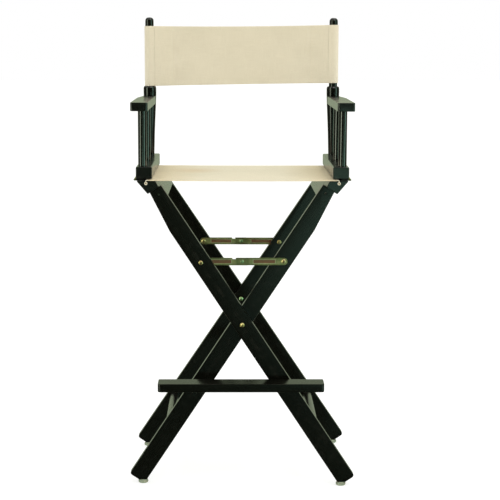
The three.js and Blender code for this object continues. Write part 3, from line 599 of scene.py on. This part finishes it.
# ---------------------------------------------------------------------------- back canvas
BACK_LOW = BACK_BOX[0].z
BACK_HIGH = BACK_BOX[1].z
BACK_THICK = 0.0010
SLEEVE_RADIUS = 0.0127  # middle of the cloth round a post
LOOP_EDGE = 0.014  # from the post's centre to the inboard end of the loop piece
SEAM = 0.0605  # from the post's centre to the seam that closes the sleeve
BOTTOM_HEM, TOP_HEM = 0.0150, 0.0105
BOTTOM_STITCH, TOP_STITCH = 0.0128, 0.0088
TOUCH = math.acos(SLEEVE_RADIUS / SEAM)  # where the cloth leaves the post, from inboard
BACK_HEIGHT = BACK_HIGH - BACK_LOW
BACK_ROWS = 46
BACK_LAYER = 0.00115  # face to face of a folded hem
BACK_PATH = hemmed(0.0, BACK_HEIGHT, BOTTOM_HEM, TOP_HEM, BACK_LAYER, BACK_ROWS)
SEAM_PAIR = 0.0084  # between the two rows of stitching of a seam
FLAP = 0.012  # the rear flap of a sleeve past its seam
FLAP_BEHIND = 0.0012  # from the front layer to the flap


def back_rise(x, up):
    """Height of a point of the back, whose top edge dips a little between the posts."""
    dip = 0.0022 * max(0.0, 1 - (x / (POST_X - 0.01)) ** 2)
    share = up / BACK_HEIGHT
    side = x / POST_X
    tilt = (0.0045 * side - 0.0001) * (1 - share) + (0.0022 * side - 0.0024) * share
    return BACK_LOW + up + tilt - dip * share + 0.0006 * max(0.0, 1 - (x / POST_X) ** 2) * (1 - share)


def sleeve_line(inboard):
    """Distance of the sleeve's straight side from the post's plane, inboard of the loop."""
    slope = SLEEVE_RADIUS / math.sqrt(SEAM**2 - SLEEVE_RADIUS**2)
    return max(0.0, (SEAM - inboard) * slope)


def back_ripple(x, up):
    share = up / BACK_HEIGHT
    edge = 0.0009 * math.sin(share * 15 + 2 * x) * near(abs(x), POST_X - SEAM - 0.006, 0.020)
    billow = 0.0030 * max(0.0, 1 - (x / (POST_X - SEAM)) ** 2) ** 2
    soft = 0.0005 * math.sin(x * 41 + 3 * share) * near(x, 0, 0.15)
    thread = sum(near(up, at, 0.0016) for at in (BOTTOM_STITCH, BACK_HEIGHT - TOP_STITCH))
    rows = sum(near(abs(x), POST_X - SEAM - at, 0.0016) for at in (0.0, SEAM_PAIR))
    return edge + billow + soft + 0.00032 * (thread + rows)


def back_front(x, up):
    """A point of the front layer, in the middle of the cloth."""
    inboard = POST_X - abs(x)
    y = POST_Y - sleeve_line(inboard) + back_ripple(x, up)
    return (x, y, back_rise(x, up))


def back_panel():
    reach = POST_X - LOOP_EDGE
    seams = {side * (POST_X - SEAM - at) for at in (0.0, SEAM_PAIR) for side in (-1, 1)}
    columns = sorted(set(np.linspace(-reach, reach, 91).round(5)) | seams)
    front = [
        [np.array(back_front(x, up)) + (0, depth, 0) for x in columns] for up, depth in BACK_PATH
    ]
    patches = [front]
    for side in (-1, 1):
        rear = []
        for up, depth in BACK_PATH:
            edge = near(up, 0, 0.013) + near(up, BACK_HEIGHT, 0.010)
            stack = FLAP_BEHIND + 0.0021 * min(1.0, edge)
            row = []
            for step in range(17):
                inboard = LOOP_EDGE + (SEAM + FLAP - LOOP_EDGE) * step / 16
                x = side * (POST_X - inboard)
                ahead = back_front(x, up)[1] + stack
                y = max(POST_Y + sleeve_line(inboard) - depth, ahead - depth)
                row.append((x, y, back_rise(x, up)))
            rear.append(row if side > 0 else row[::-1])
        patches.append(rear)
    return cloth("back_canvas_panel", patches, BACK_THICK)


def back_loop(side):
    """The part of a sleeve that goes round its post."""
    section = [(LOOP_EDGE - 0.0004, -sleeve_line(LOOP_EDGE - 0.0004), (0.0, -1.0))]
    steps = 22
    for step in range(steps + 1):
        angle = TOUCH + (2 * math.pi - 2 * TOUCH) * step / steps
        outward = (math.cos(angle), -math.sin(angle))
        section.append((SLEEVE_RADIUS * outward[0], SLEEVE_RADIUS * outward[1], outward))
    section.append((LOOP_EDGE - 0.0004, sleeve_line(LOOP_EDGE - 0.0004), (0.0, 1.0)))
    if side > 0:
        section = section[::-1]
    grid = []
    for up, depth in BACK_PATH:
        row = []
        for inboard, y, outward in section:
            x = side * (POST_X - inboard + depth * outward[0])
            row.append((x, POST_Y + y - depth * outward[1], back_rise(side * (POST_X - inboard), up)))
        grid.append(row)
    word = "left" if side < 0 else "right"
    return cloth(f"back_sleeve_{word}", [grid], BACK_THICK)


def back_stitch_lines():
    skin = BACK_THICK / 2
    reach = POST_X - LOOP_EDGE - 0.002
    lines = []
    for up in (BOTTOM_STITCH, BACK_HEIGHT - TOP_STITCH):
        xs = np.linspace(-reach, reach, 220)
        lines.append([np.array(back_front(x, up)) - (0, skin, 0) for x in xs])
    for side in (-1, 1):
        for at in (SEAM, SEAM + SEAM_PAIR):
            x = side * (POST_X - at)
            ups = np.linspace(0.003, BACK_HEIGHT - 0.003, 90)
            lines.append([np.array(back_front(x, up)) - (0, skin, 0) for up in ups])
            behind = (0, FLAP_BEHIND + skin, 0)
            lines.append([np.array(back_front(x, up)) + behind for up in ups if 0.02 < up < 0.14])
    return lines


def sleeve_stitch_lines(side):
    out = SLEEVE_RADIUS + BACK_THICK / 2
    ups = np.linspace(0.003, BACK_HEIGHT - 0.003, 60)
    lines = [[(side * (POST_X + 0.0005), POST_Y - out, back_rise(side * POST_X, up)) for up in ups]]
    for up in (BOTTOM_STITCH, BACK_HEIGHT - TOP_STITCH):
        arc = np.linspace(TOUCH, 2 * math.pi - TOUCH, 50)
        line = []
        for angle in arc:
            x = side * (POST_X - out * math.cos(angle))
            line.append((x, POST_Y - out * math.sin(angle), back_rise(x, up)))
        lines.append(line)
    return lines


back = back_panel()
loops = {side: back_loop(side) for side in (-1, 1)}
back_thread = stitches("back_stitching", back_stitch_lines())
loop_thread = {
    side: stitches("sleeve_stitching_" + ("left" if side < 0 else "right"), sleeve_stitch_lines(side))
    for side in (-1, 1)
}

# ---------------------------------------------------------------------------- who moves with what
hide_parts("seat_canvas")
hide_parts("back_canvas")
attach(seat, "outer_frame")
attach(seat_thread, "outer_frame")
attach(hooks[-1], "outer_frame")
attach(hooks[1], "inner_frame")
for piece in (back, back_thread, loops[-1], loop_thread[-1]):
    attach(piece, "left_arm")
for piece in (loops[1], loop_thread[1]):
    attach(piece, "right_arm")

for piece in (seat, seat_thread):
    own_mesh(piece)

for piece in (back, back_thread):
    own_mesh(piece)

# ---------------------------------------------------------------------------- stage
CAMERA_AT = Vector((-0.031, -3.607 + SHIFT_Y, 1.1155))
PITCH, YAW, ROLL = (math.radians(a) for a in (8.68, 0.83, 0.18))
LENS = 1420 / 500 * 36

camera_data = bpy.data.cameras.new("camera")
camera = bpy.data.objects.new("camera", camera_data)
scene.collection.objects.link(camera)
camera_data.lens = LENS
camera_data.sensor_width = 36
camera_data.clip_start = 0.1
camera_data.clip_end = 60
forward = Vector((math.sin(YAW) * math.cos(PITCH), math.cos(YAW) * math.cos(PITCH), -math.sin(PITCH)))
right = Vector((math.cos(YAW), -math.sin(YAW), 0))
up = right.cross(forward)
turned_right = right * math.cos(ROLL) + up * math.sin(ROLL)
turned_up = up * math.cos(ROLL) - right * math.sin(ROLL)
camera.matrix_world = Matrix.Translation(CAMERA_AT) @ Matrix(
    (turned_right, turned_up, -forward)
).transposed().to_4x4()
scene.camera = camera

floor = new_mesh(
    "floor",
    [(-30, -30, -0.0002), (30, -30, -0.0002), (30, 30, -0.0002), (-30, 30, -0.0002)],
    [(0, 1, 2, 3)],
    smooth=False,
)
n = Nodes("pale_floor")
speck = n.noise(3, 3, 0.5, n.coords())
floor.data.materials.append(
    n.finish(
        Base_Color=n.ramp(speck, (0.3, rgb(0.44, 0.44, 0.44)), (0.7, rgb(0.46, 0.46, 0.46))),
        Roughness=0.9,
        Specular_IOR_Level=0.1,
        Emission_Color=rgb(1, 1, 1),
        Emission_Strength=0.70,
    )
)
floor.visible_glossy = False


def area_light(name, at, aim, size, watts, colour=(1, 1, 1)):
    data = bpy.data.lights.new(name, "AREA")
    data.shape = "RECTANGLE"
    data.size, data.size_y = size
    data.energy = watts
    data.color = colour
    light = bpy.data.objects.new(name, data)
    scene.collection.objects.link(light)
    light.location = at
    light.rotation_euler = (Vector(aim) - Vector(at)).to_track_quat("-Z", "Y").to_euler()
    return light


area_light("key", (1.3, -2.2, 3.4), (0, 0, 0.8), (1.6, 1.2), 26)
area_light("top", (0.5, 0.6, 3.6), (0, 0, 0.7), (2.2, 2.2), 22)


def studio_world():
    """Soft white surroundings, dark round the camera, a pale green wall behind the chair and
    a teal panel just right of the camera. The background itself shows as white."""
    world = bpy.data.worlds.new("studio")
    scene.world = world
    world.use_nodes = True
    n = Nodes.__new__(Nodes)
    n.tree = world.node_tree
    n.tree.nodes.clear()
    split = n.tree.nodes.new("ShaderNodeSeparateXYZ")
    n.put(split.inputs[0], n.coords("Generated"))
    x, y, z = split.outputs
    azimuth = n.math("MULTIPLY", n.math("ARCTAN2", x, n.math("MULTIPLY", y, -1)), 180 / math.pi)
    height = n.math("MULTIPLY", n.math("ARCSINE", z), 180 / math.pi)

    def step(value, start, end):
        node = n.tree.nodes.new("ShaderNodeMapRange")
        node.interpolation_type = "SMOOTHSTEP"
        n.put(node.inputs["Value"], value)
        node.inputs["From Min"].default_value = start
        node.inputs["From Max"].default_value = end
        return node.outputs[0]

    def window(az, el):
        inside = n.math("MULTIPLY", step(azimuth, az[0], az[1]), step(azimuth, az[3], az[2]))
        level = n.math("MULTIPLY", step(height, el[0], el[1]), step(height, el[3], el[2]))
        return n.math("MULTIPLY", inside, level)

    sides = n.math("ABSOLUTE", azimuth)
    rays = n.tree.nodes.new("ShaderNodeLightPath").outputs
    side = n.mix(rays["Is Glossy Ray"], rgb(*SIDE_LIGHT), rgb(*SIDE_REFLECTION))
    colour = n.mix(step(height, 10, 45), side, rgb(*TOP_LIGHT))
    wall = n.math("MULTIPLY", step(sides, 140, 160), step(height, 62, 35))
    colour = n.mix(wall, colour, rgb(*BACK_WALL))
    dark = window((-36, -20, 20, 36), (-75, -50, 15, 28))
    colour = n.mix(dark, colour, rgb(*FRONT_DARK))
    colour = n.mix(window((1.2, 3.8, 26, 34), (-12, -8, -6, -4.2)), colour, rgb(*TEAL_PANEL))
    for az, light in (((-62, -57, -47, -42), STRIP_LIGHT), ((50, 56, 66, 72), TEAL_STRIP)):
        strip = n.math("MULTIPLY", window(az, (-30, -20, 30, 40)), rays["Is Glossy Ray"])
        colour = n.mix(strip, colour, rgb(*light))
    colour = n.mix(rays["Is Camera Ray"], colour, rgb(1, 1, 1))
    background = n.tree.nodes.new("ShaderNodeBackground")
    n.put(background.inputs["Color"], colour)
    out = n.tree.nodes.new("ShaderNodeOutputWorld")
    n.tree.links.new(background.outputs[0], out.inputs["Surface"])


SIDE_LIGHT = (0.80, 0.80, 0.76)
SIDE_REFLECTION = (0.13, 0.14, 0.11)
TOP_LIGHT = (0.95, 0.95, 0.92)
BACK_WALL = (0.48, 0.56, 0.38)
FRONT_DARK = (0.010, 0.011, 0.008)
TEAL_PANEL = (1.30, 2.45, 1.90)
TEAL_STRIP = (2.2, 4.0, 3.2)
STRIP_LIGHT = (6.0, 6.8, 5.2)
studio_world()
scene.view_settings.view_transform = "Standard"
